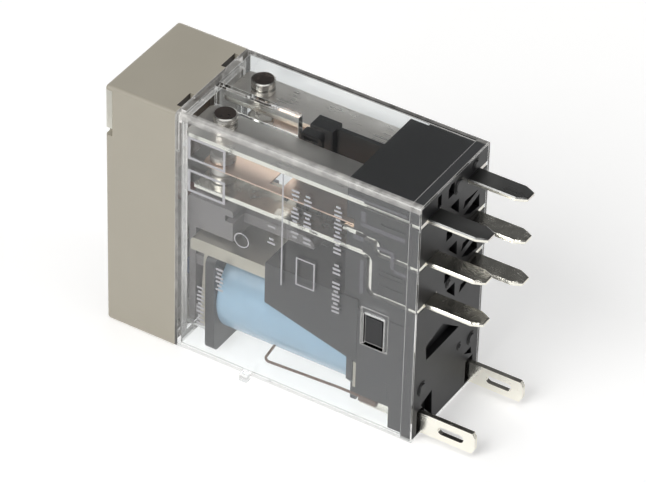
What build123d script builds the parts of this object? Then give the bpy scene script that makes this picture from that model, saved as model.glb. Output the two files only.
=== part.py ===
"""Two-pole plug-in relay: clear case, cap, coil, armature, contact sets, blades.

The relay lies with the narrow coil-side face on z = 0. +X runs from the cap
to the blades, +Y across the 13 mm width, +Z from the coil up to the contacts.
"""
import math
import os

from build123d import *

# ---------------------------------------------------------------- outer body
body_length = 35.6
body_width = 13.0
body_height = 29.0
cap_length = 8.15
case_wall = 0.55
cap_wall = 1.0
cap_end_wall = 1.2
long_edge_radius = 0.4
seat_gap = 0.03
sliding_gap = 0.05
pivot_gap = 0.05

# ------------------------------------------------------------------- blades
blade_length = 6.2
blade_width = 2.3
blade_thickness = 0.5
blade_bevel = 0.12
blade_tip_taper = 1.1
blade_tip_half_width = 0.62
top_row_inset = 2.5
row_pitch = 5.1
blade_wall_inset = 2.75
coil_blade_height = 2.5
coil_blade_foot = 0.55
coil_blade_wall_inset = 1.85
coil_blade_length = 6.3

# ---------------------------------------------------------------- contacts
contact_diameter = 2.6
contact_shank_diameter = 1.3
contact_edge = 0.25
contact_wall_inset = 3.1
contact_setback = 3.75
strip_outer_inset = 0.9
strip_inner_half_gap = 1.2
spring_thickness = 0.15
spring_half_width = 1.9
contact_gap = 1.1
closed_gap = 0.02

# ------------------------------------------------------------ coil and iron
coil_axis_z = 6.7
tape_radius = 5.25
tape_thickness = 0.15
winding_inner_radius = 3.15
core_radius = 2.3
pole_head_radius = 3.5
pole_head_thickness = 0.8
yoke_thickness = 1.5
yoke_bottom_z = 12.4
yoke_half_width = 5.3
armature_thickness = 1.0
armature_half_width = 4.0
armature_foot_z = 1.6
armature_swing = 3.2

# -------------------------------------------------------------- derived X/Z
cap_face_x = -body_length / 2
seat_x = body_length / 2
joint_x = cap_face_x + cap_length
half_width = body_width / 2
inner_half_width = half_width - case_wall
inner_top_z = body_height - case_wall

no_z = body_height - top_row_inset
com_z = no_z - row_pitch
nc_z = com_z - row_pitch
blade_y = half_width - blade_wall_inset
contact_y = half_width - contact_wall_inset
strip_outer_y = half_width - strip_outer_inset
coil_blade_y = half_width - coil_blade_wall_inset

contact_x = joint_x + contact_setback
half_blade = blade_thickness / 2
spring_z = no_z - 3.42
spring_top_z = spring_z + spring_thickness
nc_strip_z = no_z - 5.8
com_strip_z = spring_z - sliding_gap - half_blade
moving_top_z = spring_top_z + 0.92
moving_foot_z = spring_z - 1.13
no_contact_foot_z = moving_top_z + contact_gap
nc_contact_top_z = moving_foot_z - closed_gap

pivot_x = joint_x + 2.55
pivot_z = yoke_bottom_z - armature_thickness / 2 - pivot_gap
pole_face_x = pivot_x + armature_thickness / 2 + 0.02
yoke_left_x = joint_x + 1.25
yoke_leg_x = seat_x - 7.3
yoke_top_z = yoke_bottom_z + yoke_thickness

card_x = pivot_x + 9.0
arm_top_z = yoke_top_z + 2.8
arm_foot_z = yoke_top_z + 1.6
spring_root_x = seat_x - 7.8
block_left_x = seat_x - 8.3
block_foot_z = yoke_top_z + 0.05
flange_x = seat_x - 1.2
base_left_x = seat_x - 6.6
sides = (("front", -1), ("rear", 1))


def slab(x0, x1, y0, y1, z0, z1, mode=Mode.ADD):
    """Rectangular block between two opposite corners."""
    with Locations(((x0 + x1) / 2, (y0 + y1) / 2, (z0 + z1) / 2)):
        Box(x1 - x0, abs(y1 - y0), z1 - z0, mode=mode)


def side_profile(points, y0, y1, mode=Mode.ADD):
    """Closed X-Z outline extruded across Y."""
    with BuildSketch(Plane.XZ.offset(-max(y0, y1))) as outline:
        with BuildLine():
            Polyline(*points, close=True)
        make_face()
    extrude(outline.sketch, amount=abs(y1 - y0), mode=mode)


def bent_strip(points, radius, thickness, y0, y1, mode=Mode.ADD):
    """Sheet strip of constant thickness following an X-Z centre line."""
    with BuildSketch(Plane.XZ.offset(-max(y0, y1))) as outline:
        with BuildLine():
            FilletPolyline(*points, radius=radius)
        trace(line_width=thickness)
    extrude(outline.sketch, amount=abs(y1 - y0), mode=mode)


def rod_x(x0, x1, y, z, radius, mode=Mode.ADD):
    """Round bar along X."""
    with Locations(((x0 + x1) / 2, y, z)):
        Cylinder(radius, x1 - x0, rotation=(0, 90, 0), mode=mode)


def rod_z(x, y, z0, z1, radius, mode=Mode.ADD):
    """Round bar along Z."""
    with Locations((x, y, (z0 + z1) / 2)):
        Cylinder(radius, z1 - z0, mode=mode)


def disc_z(x, y, z0, z1, radius, edge):
    """Contact button along Z with a turned chamfer on both rims."""
    with BuildSketch(Plane((x, y, 0), x_dir=(1, 0, 0), z_dir=(0, -1, 0))) as outline:
        with BuildLine():
            Polyline((0, z0), (radius - edge, z0), (radius, z0 + edge * 0.5),
                     (radius, z1 - edge * 0.5), (radius - edge, z1), (0, z1), close=True)
        make_face()
    revolve(outline.sketch, axis=Axis((x, y, 0), (0, 0, 1)))


def swing(x, z, angle=armature_swing):
    """Point of the pulled-in armature moved back to its rest position."""
    turn = math.radians(angle)
    dx = x - pivot_x
    dz = z - pivot_z
    return (pivot_x + dx * math.cos(turn) + dz * math.sin(turn),
            pivot_z - dx * math.sin(turn) + dz * math.cos(turn))


def save(part, name):
    """Name the solid and write it."""
    part.label = name
    export_step(part, "parts/" + name + ".step")


os.makedirs("parts", exist_ok=True)

# ------------------------------------------------------------- clear case
tongue_length = 2.0
tongue_half = half_width - cap_wall - sliding_gap
tongue_top = body_height - cap_wall - sliding_gap
tongue_wall = 0.55
divider_half = 0.4
flange_pocket = case_wall - 0.25
catch_slots = ((-5.4, -3.0), (2.4, 4.9))
catch_length = 0.3
catch_depth = 0.6

with BuildPart() as clear_case:
    slab(joint_x, seat_x, -half_width, half_width, 0, body_height)
    fillet(clear_case.edges().filter_by(Axis.X), long_edge_radius)
    slab(joint_x - 1, seat_x + 1, -tongue_half + tongue_wall, tongue_half - tongue_wall,
         cap_wall + sliding_gap + tongue_wall, tongue_top - tongue_wall, mode=Mode.SUBTRACT)
    slab(joint_x + 0.6, seat_x + 1, -inner_half_width, inner_half_width,
         case_wall, inner_top_z, mode=Mode.SUBTRACT)
    slab(flange_x, seat_x + 1, -half_width + flange_pocket, half_width - flange_pocket,
         flange_pocket, body_height - flange_pocket, mode=Mode.SUBTRACT)
    slab(joint_x - tongue_length, joint_x, -tongue_half, tongue_half,
         cap_wall + sliding_gap, tongue_top)
    slab(joint_x - tongue_length, joint_x, -tongue_half + tongue_wall,
         tongue_half - tongue_wall, cap_wall + sliding_gap + tongue_wall,
         tongue_top - tongue_wall, mode=Mode.SUBTRACT)
    for y0, y1 in catch_slots:
        slab(joint_x - catch_length, joint_x, y0 + sliding_gap, y1 - sliding_gap,
             tongue_top - 0.1, body_height - catch_depth)
        slab(joint_x - catch_length, joint_x, y0 + sliding_gap, y1 - sliding_gap, catch_depth,
             cap_wall + sliding_gap + 0.1)
    slab(joint_x + 0.55, card_x - 1.4, -divider_half, divider_half, body_height - 3.0,
         inner_top_z + 0.05)
    for side in (-1, 1):
        slab(joint_x + 0.15, joint_x + 0.45, side * (half_width - 0.3),
             side * (half_width + 0.1), body_height - 4.5, body_height + 0.1,
             mode=Mode.SUBTRACT)
        slab(seat_x - 6.0, seat_x - 3.0, side * (half_width - 0.15),
             side * (half_width + 0.1), 10.1, 14.7, mode=Mode.SUBTRACT)
        slab(seat_x - 5.8, seat_x - 3.55, side * (inner_half_width - 0.1),
             side * (half_width + 0.1), 10.1, 13.8, mode=Mode.SUBTRACT)
    slab(joint_x + 8.25, joint_x + 9.15, -half_width - 0.9, -half_width + 0.1, 0, 0.9)
save(clear_case.part, "clear_case")

# ---------------------------------------------------------------- top cap
lens_depth = 0.85
lens_foot_z = body_height - 5.0
lens_top_z = body_height - long_edge_radius - 0.05
plate_depth = 0.3
plate_half_width = 5.2
plate_foot_z = 14.6
plate_top_z = 22.6
button_z = 5.5
button_half_width = 1.9
button_half_height = 1.55
button_stroke = 0.8
stem_radius = 1.0
web_x = cap_face_x + 5.3
flag_z = 11.7
board_x = cap_face_x + 4.3
board_thickness = 0.6
board_foot_z = 17.5
board_top_z = body_height - 2.2
board_half_width = half_width - cap_wall - 0.1
cap_inner_half = half_width - cap_wall

with BuildPart() as top_cap:
    slab(cap_face_x, joint_x, -half_width, half_width, 0, body_height)
    fillet(top_cap.edges().filter_by(Axis.X), long_edge_radius)
    fillet(top_cap.faces().sort_by(Axis.X)[0].edges(), 0.35)
    slab(cap_face_x + cap_end_wall, joint_x + 1, -cap_inner_half, cap_inner_half,
         cap_wall, body_height - cap_wall, mode=Mode.SUBTRACT)
    slab(cap_face_x - 1, cap_face_x + lens_depth, -half_width - 1, half_width + 1,
         lens_foot_z, lens_top_z, mode=Mode.SUBTRACT)
    slab(cap_face_x - 1, cap_face_x + plate_depth, -plate_half_width, plate_half_width,
         plate_foot_z, plate_top_z, mode=Mode.SUBTRACT)
    slab(cap_face_x - 1, cap_face_x + 2, -1.5, 1.5, lens_foot_z + 0.8,
         lens_foot_z + 2.6, mode=Mode.SUBTRACT)
    slab(cap_face_x - 1, cap_face_x + 2, -2.2, 2.2, flag_z - 1.1, flag_z + 1.1,
         mode=Mode.SUBTRACT)
    slab(cap_face_x - 1, cap_face_x + 2, -button_half_width - sliding_gap,
         button_half_width + sliding_gap, button_z - button_half_height - sliding_gap,
         button_z + button_half_height + sliding_gap, mode=Mode.SUBTRACT)
    slab(cap_face_x - 1, cap_face_x + lens_depth, -half_width - 1, -half_width + 0.8,
         lens_foot_z - 0.9, lens_foot_z + 0.1, mode=Mode.SUBTRACT)
    slab(web_x, web_x + 0.6, -cap_inner_half - 0.1, cap_inner_half + 0.1, 0.9, 9.0)
    rod_x(web_x - 1, web_x + 2, 0, button_z, stem_radius + sliding_gap,
          mode=Mode.SUBTRACT)
    for side in (-1, 1):
        for x0 in (board_x - 0.6, board_x + board_thickness + seat_gap):
            slab(x0, x0 + 0.6 - seat_gap, side * (cap_inner_half - 0.8),
                 side * (cap_inner_half + 0.1), 16.5, body_height - cap_wall - 0.5)
        slab(board_x - 0.6, board_x + board_thickness + 0.6, side * (cap_inner_half - 0.8),
             side * (cap_inner_half + 0.1), 16.5, board_foot_z - seat_gap)
    for y0, y1 in catch_slots:
        slab(joint_x - 0.55, joint_x + 1, y0, y1, body_height - cap_wall - 0.5,
             body_height + 1, mode=Mode.SUBTRACT)
        slab(joint_x - 0.55, joint_x + 1, y0, y1, -1, cap_wall + 0.5, mode=Mode.SUBTRACT)
save(top_cap.part, "top_cap")

with BuildPart() as indicator_lens:
    slab(cap_face_x, cap_face_x + lens_depth - seat_gap, -half_width, half_width,
         lens_foot_z + seat_gap, lens_top_z - seat_gap)
    fillet(indicator_lens.faces().sort_by(Axis.X)[0].edges().filter_by(Axis.Z), 0.35)
save(indicator_lens.part, "indicator_lens")

with BuildPart() as nameplate:
    slab(cap_face_x + 0.02, cap_face_x + plate_depth - seat_gap,
         -plate_half_width + seat_gap, plate_half_width - seat_gap,
         plate_foot_z + seat_gap, plate_top_z - seat_gap)
    fillet(nameplate.edges().filter_by(Axis.X), 0.3)
save(nameplate.part, "nameplate")

with BuildPart() as test_button:
    slab(cap_face_x + 0.1, cap_face_x + 1.9, -button_half_width, button_half_width,
         button_z - button_half_height, button_z + button_half_height)
    fillet(test_button.faces().sort_by(Axis.X)[0].edges(), 0.2)
    slab(cap_face_x + cap_end_wall + sliding_gap, cap_face_x + 2.2,
         -button_half_width - 0.7, button_half_width + 0.7,
         button_z - button_half_height - 0.6, button_z + button_half_height + 0.6)
    rod_x(cap_face_x + 2.1, joint_x - 0.7, 0, button_z, stem_radius)
    chamfer(test_button.faces().sort_by(Axis.X)[-1].edges(), 0.25)
save(test_button.part, "test_button")

spring_wire_radius = 0.16
button_spring_length = 1.9
with BuildPart() as button_spring:
    with BuildLine() as coil_line:
        Helix(pitch=0.5, height=button_spring_length - 2 * spring_wire_radius, radius=1.45,
              center=(cap_face_x + 2.22 + spring_wire_radius, 0, button_z),
              direction=(1, 0, 0))
    with BuildSketch(Plane(origin=coil_line.line @ 0, z_dir=coil_line.line % 0)):
        Circle(spring_wire_radius)
    sweep(path=coil_line.line)
save(button_spring.part, "button_spring")

# --------------------------------------------------------- indicator circuit
with BuildPart() as indicator_board:
    slab(board_x, board_x + board_thickness, -board_half_width, board_half_width,
         board_foot_z, board_top_z)
    for side in (-1, 1):
        rod_x(board_x - 1, board_x + 2, side * (cap_inner_half - 1.05), board_foot_z + 0.9,
              0.2, mode=Mode.SUBTRACT)
save(indicator_board.part, "indicator_board")

led_z = lens_foot_z + 1.7
with BuildPart() as led:
    slab(board_x - 1.1, board_x - 0.02, -0.8, 0.8, led_z - 0.65, led_z + 0.65)
    rod_x(board_x - 1.6, board_x - 1.0, 0, led_z, 0.55)
    fillet(led.faces().sort_by(Axis.X)[0].edges(), 0.25)
save(led.part, "led")

with BuildPart() as resistor:
    slab(board_x - 0.55, board_x - 0.02, 1.4, 3.4, 20.9, 22.1)
    chamfer(resistor.edges().filter_by(Axis.Y), 0.06)
save(resistor.part, "resistor")

with BuildPart() as diode:
    with Locations((board_x - 0.74, -1.4, 20.2)):
        Cylinder(0.7, 3.4, rotation=(90, 0, 0))
    chamfer(diode.edges().filter_by(GeomType.CIRCLE), 0.12)
save(diode.part, "diode")

lead_radius = 0.15
lead_y = cap_inner_half - 1.05
lead_z = 2.3
for name, side in sides:
    with BuildPart() as indicator_lead:
        with BuildLine() as lead_line:
            FilletPolyline((board_x - 0.25, side * lead_y, board_foot_z + 0.9),
                           (joint_x - 0.95, side * lead_y, board_foot_z + 0.9),
                           (joint_x - 0.95, side * lead_y, lead_z),
                           (pole_face_x + 0.1, side * lead_y, lead_z), radius=0.7)
        with BuildSketch(Plane(origin=lead_line.line @ 0, z_dir=(1, 0, 0))):
            Circle(lead_radius)
        sweep(path=lead_line.line)
    save(indicator_lead.part, "indicator_lead_" + name)

# ------------------------------------------------------------ contact block
block_half = half_width - 0.65
block_top_z = inner_top_z - 0.05
slot_gap = 0.03
leg_x = card_x + 1.6
slot_half = half_blade + slot_gap
row_slots = (no_z, com_z, nc_z)

com_bend = 0.4
nc_bend = 0.6


def com_line(x0, x1):
    """Centre line of the common strip, stepping up to the spring root."""
    return ((x0, com_strip_z), (seat_x - 4.75, com_strip_z), (seat_x - 4.75, com_z),
            (x1, com_z))


def nc_line(x0, x1):
    """Centre line of the normally closed strip, stepping up to the contact."""
    return ((x0, nc_strip_z), (seat_x - 5.5, nc_strip_z), (seat_x - 5.5, nc_z), (x1, nc_z))


with BuildPart() as contact_block:
    slab(block_left_x, flange_x - seat_gap, -block_half + 0.25, block_half - 0.25,
         block_foot_z, block_top_z)
    slab(block_left_x + 2.0, flange_x - seat_gap, -block_half, block_half,
         block_foot_z, block_top_z)
    slab(leg_x, leg_x + 0.9, -divider_half, 0.7, block_foot_z, block_top_z)
    slab(leg_x + 0.8, block_left_x + 0.1, 0.2, 0.7, block_foot_z, block_top_z)
    slab(leg_x - 0.1, leg_x + 1.0, -1, 1, block_foot_z + 1.0, arm_top_z + 1.4,
         mode=Mode.SUBTRACT)
    slab(card_x, leg_x + 0.9, -0.5, 1.3, block_top_z - 0.45, block_top_z)
    slab(card_x - 1.3, block_left_x + 0.1, -block_half, block_half, block_foot_z,
         block_foot_z + 0.95)
    for side in (-1, 1):
        side_profile(((card_x - 1.3, block_foot_z + 0.95), (card_x - 1.3, 10.0),
                      (base_left_x - 0.05, 7.1), (base_left_x - 0.05, block_foot_z + 0.95)),
                     side * (block_half - 0.5), side * block_half)
        open_y = side * (block_half + 1)
        slot_y = side * (strip_inner_half_gap - slot_gap)
        slab(block_left_x - 1, seat_x, slot_y, open_y, no_z - slot_half, no_z + slot_half,
             mode=Mode.SUBTRACT)
        bent_strip(com_line(block_left_x - 1, seat_x), com_bend, 2 * slot_half, slot_y,
                   open_y, mode=Mode.SUBTRACT)
        bent_strip(nc_line(block_left_x - 1, seat_x), nc_bend, 2 * slot_half, slot_y,
                   open_y, mode=Mode.SUBTRACT)
        slab(block_left_x - 1, spring_root_x + 0.3, slot_y, open_y, com_strip_z - slot_half,
             spring_top_z + 1.0, mode=Mode.SUBTRACT)
        for rib_z in (nc_z + 1.5, nc_z + 2.7, com_z - 1.9, no_z - 1.5, no_z - 2.4):
            slab(seat_x - 4.4, flange_x - 0.5, side * (block_half - 0.12), open_y, rib_z,
                 rib_z + 0.3, mode=Mode.SUBTRACT)
save(contact_block.part, "contact_block")

# ------------------------------------------------------------ terminal base
flange_half = half_width - flange_pocket - sliding_gap
flange_foot = flange_pocket + sliding_gap
pocket_depth = 0.8


def face_pocket(points):
    """Blind pocket in the blade face, outline in Y-Z."""
    with BuildSketch(Plane.YZ.offset(seat_x - pocket_depth)) as outline:
        with BuildLine():
            Polyline(*points, close=True)
        make_face()
    extrude(outline.sketch, amount=pocket_depth + 1, mode=Mode.SUBTRACT)


with BuildPart() as terminal_base:
    slab(flange_x, seat_x, -flange_half, flange_half, flange_foot, body_height - flange_foot)
    fillet(terminal_base.edges().filter_by(Axis.X), 0.25)
    slab(base_left_x, flange_x + 0.1, -block_half, block_half, 3.3, block_foot_z - seat_gap)
    slab(seat_x - 2.8, flange_x + 0.1, -block_half, block_half, 0.7, 3.4)
    slab(base_left_x - 1, yoke_leg_x + yoke_thickness + seat_gap, -yoke_half_width,
         yoke_half_width, 0, yoke_top_z + 1, mode=Mode.SUBTRACT)
    slab(seat_x - 3.4, seat_x - 2.9, -block_half - 0.05, -block_half + 0.3, 4.1, 6.1)
    slab(seat_x - 3.4, seat_x - 2.9, block_half - 0.3, block_half + 0.05, 4.1, 6.1)
    for side in (-1, 1):
        side_profile(((seat_x - 5.6, 10.4), (seat_x - 3.75, 10.4), (seat_x - 3.75, 13.5),
                      (seat_x - 5.6, 13.5)), side * (block_half - 0.1),
                     side * (half_width - 0.25))
        for row_z in row_slots:
            slab(flange_x - 1, seat_x + 1, side * (blade_y - blade_width / 2 - slot_gap),
                 side * (half_width + 1), row_z - slot_half, row_z + slot_half,
                 mode=Mode.SUBTRACT)
        slab(seat_x - 3.5, seat_x + 1, side * (coil_blade_y - half_blade - slot_gap),
             side * (coil_blade_y + half_blade + slot_gap), coil_blade_foot - slot_gap,
             coil_blade_foot + coil_blade_height + slot_gap, mode=Mode.SUBTRACT)
        slab(seat_x - 0.6, seat_x + 1, side * (coil_blade_y - 0.7), side * (coil_blade_y + 0.7),
             flange_foot + 0.15, coil_blade_foot + coil_blade_height + 0.3,
             mode=Mode.SUBTRACT)
    for row_z in row_slots:
        face_pocket(((0.9, row_z - 0.9), (1.0, row_z - 2.7), (-0.8, row_z - 0.9)))
        face_pocket(((-0.1, row_z + 0.3), (-0.1, row_z + 1.7), (-0.7, row_z + 1.8),
                     (-1.2, row_z + 1.4), (-1.2, row_z + 0.3)))
        face_pocket(((4.7, row_z - 2.2), (1.8, row_z - 2.9), (2.1, row_z - 2.0)))
    for row_z in (no_z, com_z):
        face_pocket(((4.9, row_z - 2.9), (1.9, row_z - 3.6), (3.1, row_z - 4.2),
                     (5.0, row_z - 4.5)))
    face_pocket(((-3.2, no_z + 0.45), (-2.5, no_z + 0.45), (-2.5, no_z + 1.8),
                 (-3.2, no_z + 1.8)))
    face_pocket(((-4.2, 10.8), (-4.0, 9.0), (2.2, 9.0), (-1.1, 11.6)))
    face_pocket(((-2.6, 4.3), (-2.4, 1.0), (-4.0, 2.9), (-4.7, 3.75)))
    face_pocket(((4.9, 4.6), (5.0, 3.7), (3.45, 4.6)))
save(terminal_base.part, "terminal_base")

# ------------------------------------------------------------ blade terminals
shoulder_y = half_width - 0.5


def blade(terminal, side, row_z, neck_x):
    """Flat contact blade with cut tip corners, bevelled edges and a shoulder."""
    half = blade_width / 2
    tip_x = seat_x + blade_length
    with BuildSketch(Plane.XY.offset(row_z - half_blade)) as outline:
        with BuildLine():
            Polyline((seat_x, side * blade_y - half),
                     (tip_x - blade_tip_taper, side * blade_y - half),
                     (tip_x - 0.35, side * blade_y - blade_tip_half_width - 0.2),
                     (tip_x, side * blade_y - blade_tip_half_width),
                     (tip_x, side * blade_y + blade_tip_half_width),
                     (tip_x - 0.35, side * blade_y + blade_tip_half_width + 0.2),
                     (tip_x - blade_tip_taper, side * blade_y + half),
                     (seat_x, side * blade_y + half), close=True)
        make_face()
    extrude(outline.sketch, amount=blade_thickness)
    rims = [e for e in terminal.edges() if e.center().X > seat_x + 0.05
            and abs(abs(e.center().Z - row_z) - half_blade) < 1e-4]
    chamfer(rims, blade_bevel)
    slab(neck_x, seat_x, side * (blade_y - half), side * (blade_y + half),
         row_z - half_blade, row_z + half_blade)
    slab(flange_x + 0.2, seat_x - 0.05, side * (blade_y - half), side * shoulder_y,
         row_z - half_blade, row_z + half_blade)


strip_left_x = joint_x + 0.75
strip_end_x = flange_x - 0.05
for name, side in sides:
    y_in = side * strip_inner_half_gap
    y_out = side * strip_outer_y
    with BuildPart() as no_terminal:
        blade(no_terminal, side, no_z, flange_x - 1)
        slab(strip_left_x, strip_end_x, y_in, y_out, no_z - half_blade, no_z + half_blade)
        fillet([e for e in no_terminal.edges().filter_by(Axis.Z)
                if abs(e.center().X - strip_left_x) < 0.01], 0.5)
        rod_z(contact_x, side * contact_y, no_z - 1, no_z + 1,
              contact_shank_diameter / 2, mode=Mode.SUBTRACT)
    save(no_terminal.part, "no_terminal_" + name)

    with BuildPart() as com_terminal:
        blade(com_terminal, side, com_z, flange_x - 1)
        bent_strip(com_line(block_left_x - 0.4, strip_end_x), com_bend, blade_thickness,
                   y_in, y_out)
    save(com_terminal.part, "com_terminal_" + name)

    with BuildPart() as nc_terminal:
        blade(nc_terminal, side, nc_z, flange_x - 1)
        bent_strip(nc_line(strip_left_x + 1.1, strip_end_x), nc_bend, blade_thickness,
                   y_in, y_out)
        rod_z(contact_x, side * contact_y, nc_strip_z - 1, nc_strip_z + 1,
              contact_shank_diameter / 2, mode=Mode.SUBTRACT)
    save(nc_terminal.part, "nc_terminal_" + name)

    with BuildPart() as coil_terminal:
        y_c0 = side * (coil_blade_y - half_blade)
        y_c1 = side * (coil_blade_y + half_blade)
        foot = coil_blade_foot
        top = coil_blade_foot + coil_blade_height
        tip_x = seat_x + coil_blade_length
        side_profile(((seat_x - 3.4, foot), (tip_x - 0.3, foot), (tip_x, foot + 0.55),
                      (tip_x, top - 0.55), (tip_x - 0.3, top), (seat_x - 3.4, top)),
                     y_c0, y_c1)
        slab(seat_x - 6.6, seat_x - 3.3, y_c0, y_c1, foot + 0.9, top - 0.1)
        with BuildSketch(Plane.XZ.offset(-max(y_c0, y_c1) - 0.5)):
            with Locations((seat_x + 3.6, (foot + top) / 2)):
                SlotOverall(2.9, 0.9)
        extrude(amount=blade_thickness + 1, mode=Mode.SUBTRACT)
    save(coil_terminal.part, "coil_terminal_" + name)

# ---------------------------------------------------------------- contacts
shank_r = contact_shank_diameter / 2
contact_r = contact_diameter / 2
for name, side in sides:
    cy = side * contact_y
    with BuildPart() as no_contact:
        disc_z(contact_x, cy, no_contact_foot_z, no_z - half_blade, contact_r, contact_edge)
        rod_z(contact_x, cy, no_z - half_blade - 0.1, no_z + half_blade + 0.1, shank_r - 0.01)
        head_z = no_z + half_blade
        head_r = contact_r - 0.08
        disc_z(contact_x, cy, head_z, head_z + 0.6, head_r, 0.14)
        rod_z(contact_x, cy, head_z + 0.5, head_z + 0.9, head_r - 0.25)
        disc_z(contact_x, cy, head_z + 0.8, block_top_z - 0.12, head_r, 0.14)
    save(no_contact.part, "no_contact_" + name)

    with BuildPart() as nc_contact:
        disc_z(contact_x, cy, nc_strip_z + half_blade, nc_contact_top_z, contact_r,
               contact_edge)
        rod_z(contact_x, cy, nc_strip_z - half_blade - 0.1, nc_strip_z + half_blade + 0.1,
              shank_r - 0.01)
        disc_z(contact_x, cy, nc_strip_z - half_blade - 0.6, nc_strip_z - half_blade, 1.05,
               0.15)
    save(nc_contact.part, "nc_contact_" + name)

    with BuildPart() as moving_contact:
        disc_z(contact_x, cy, moving_foot_z, spring_z, contact_r, contact_edge)
        rod_z(contact_x, cy, spring_z - 0.1, spring_top_z + 0.1, shank_r - 0.01)
        disc_z(contact_x, cy, spring_top_z, moving_top_z, contact_r, contact_edge)
    save(moving_contact.part, "moving_contact_" + name)

    with BuildPart() as moving_spring:
        spring_y = side * (contact_y - 0.2)
        slab(contact_x - 1.5, spring_root_x, spring_y - spring_half_width,
             spring_y + spring_half_width, spring_z, spring_top_z)
        fillet([e for e in moving_spring.edges().filter_by(Axis.Z)
                if e.center().X < contact_x], 0.9)
        with Locations((spring_root_x, spring_y, spring_z + spring_thickness / 2)):
            Cylinder(spring_thickness / 2, 2 * spring_half_width, rotation=(90, 0, 0))
        rod_z(contact_x, cy, spring_z - 1, spring_top_z + 1, shank_r, mode=Mode.SUBTRACT)
        slab(card_x - 2.0, card_x - 0.6, side * 2.0, side * 4.2, spring_z - 1,
             spring_top_z + 1, mode=Mode.SUBTRACT)
    save(moving_spring.part, "moving_spring_" + name)

# --------------------------------------------------------------- iron and coil
flange_left_x0 = pole_face_x + 0.12
flange_left_x1 = pole_face_x + 1.2
flange_right_x1 = yoke_leg_x - 0.05
flange_right_x0 = yoke_leg_x - 0.7

with BuildPart() as core:
    rod_x(pole_face_x, pole_face_x + pole_head_thickness, 0, coil_axis_z, pole_head_radius)
    chamfer(core.faces().sort_by(Axis.X)[0].edges(), 0.12)
    rod_x(pole_face_x + 0.2, yoke_leg_x + yoke_thickness - 0.02, 0, coil_axis_z, core_radius)
save(core.part, "core")

with BuildPart() as yoke:
    slab(yoke_left_x, yoke_leg_x + yoke_thickness, -yoke_half_width, yoke_half_width,
         yoke_bottom_z, yoke_top_z)
    slab(yoke_leg_x, yoke_leg_x + yoke_thickness, -yoke_half_width + 0.1,
         yoke_half_width - 0.1, 3.4, yoke_bottom_z + 0.1)
    fillet([e for e in yoke.edges().filter_by(Axis.Y)
            if e.center().X > seat_x - 6 and e.center().Z > yoke_top_z - 0.1], 1.0)
    fillet([e for e in yoke.edges().filter_by(Axis.Y)
            if e.center().X < yoke_left_x + 0.1 and e.center().Z > yoke_top_z - 0.1], 0.5)
    rod_x(yoke_leg_x - 1, seat_x, 0, coil_axis_z, core_radius + 0.02, mode=Mode.SUBTRACT)
save(yoke.part, "yoke")

flange_right_outline = ((-5.35, 12.2), (-5.35, 4.2), (-4.4, 3.1), (-4.4, 1.1), (4.4, 1.1),
                        (4.4, 3.1), (5.35, 4.2), (5.35, 12.2))
with BuildPart() as bobbin:
    rod_x(flange_left_x0 + 0.1, flange_right_x1, 0, coil_axis_z, winding_inner_radius - 0.02)
    slab(flange_left_x0, flange_left_x1, -5.6, 5.6, 0.7, 12.25)
    fillet([e for e in bobbin.edges().filter_by(Axis.X) if abs(e.center().Y) > 5], 0.8)
    with BuildSketch(Plane.YZ.offset(flange_right_x0)):
        with BuildLine():
            Polyline(*flange_right_outline, close=True)
        make_face()
    extrude(amount=flange_right_x1 - flange_right_x0)
    rod_x(flange_left_x0 - 1, yoke_leg_x + 1, 0, coil_axis_z, core_radius + 0.03,
          mode=Mode.SUBTRACT)
    rod_x(flange_left_x0 - 1, pole_face_x + pole_head_thickness + 0.02, 0, coil_axis_z,
          pole_head_radius + 0.03, mode=Mode.SUBTRACT)
    for side in (-1, 1):
        rod_x(flange_left_x0 - 1, pole_face_x + 0.6, side * lead_y, lead_z, lead_radius + 0.02,
              mode=Mode.SUBTRACT)
save(bobbin.part, "bobbin")

with BuildPart() as winding:
    rod_x(flange_left_x1 + 0.02, flange_right_x0 - 0.02, 0, coil_axis_z,
          tape_radius - tape_thickness - 0.01)
    rod_x(flange_left_x1 - 1, flange_right_x0 + 1, 0, coil_axis_z, winding_inner_radius,
          mode=Mode.SUBTRACT)
save(winding.part, "winding")

with BuildPart() as coil_tape:
    rod_x(flange_left_x1 + 0.03, flange_right_x0 - 0.03, 0, coil_axis_z, tape_radius)
    rod_x(flange_left_x1 - 1, flange_right_x0 + 1, 0, coil_axis_z,
          tape_radius - tape_thickness, mode=Mode.SUBTRACT)
save(coil_tape.part, "coil_tape")

coil_lead_radius = 0.14
coil_lead_y = coil_blade_y + half_blade + coil_lead_radius + 0.01
for name, side in sides:
    with BuildPart() as coil_lead:
        with BuildLine() as coil_lead_line:
            FilletPolyline((joint_x + 10.9, side * (tape_radius - 0.42), 4.1),
                           (joint_x + 9.8, side * coil_lead_y, 1.9),
                           (yoke_leg_x - 1.5, side * coil_lead_y, 2.4),
                           (seat_x - 4.6, side * coil_lead_y, 2.4), radius=0.35)
        with BuildSketch(Plane(origin=coil_lead_line.line @ 0, z_dir=coil_lead_line.line % 0)):
            Circle(coil_lead_radius)
        sweep(path=coil_lead_line.line)
        rod_x(seat_x - 6.4, seat_x - 4.4, side * (coil_lead_y + 0.2), 2.4, 0.33)
        fillet(coil_lead.faces().sort_by(Axis.X)[-1].edges(), 0.15)
    save(coil_lead.part, "coil_lead_" + name)

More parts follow.
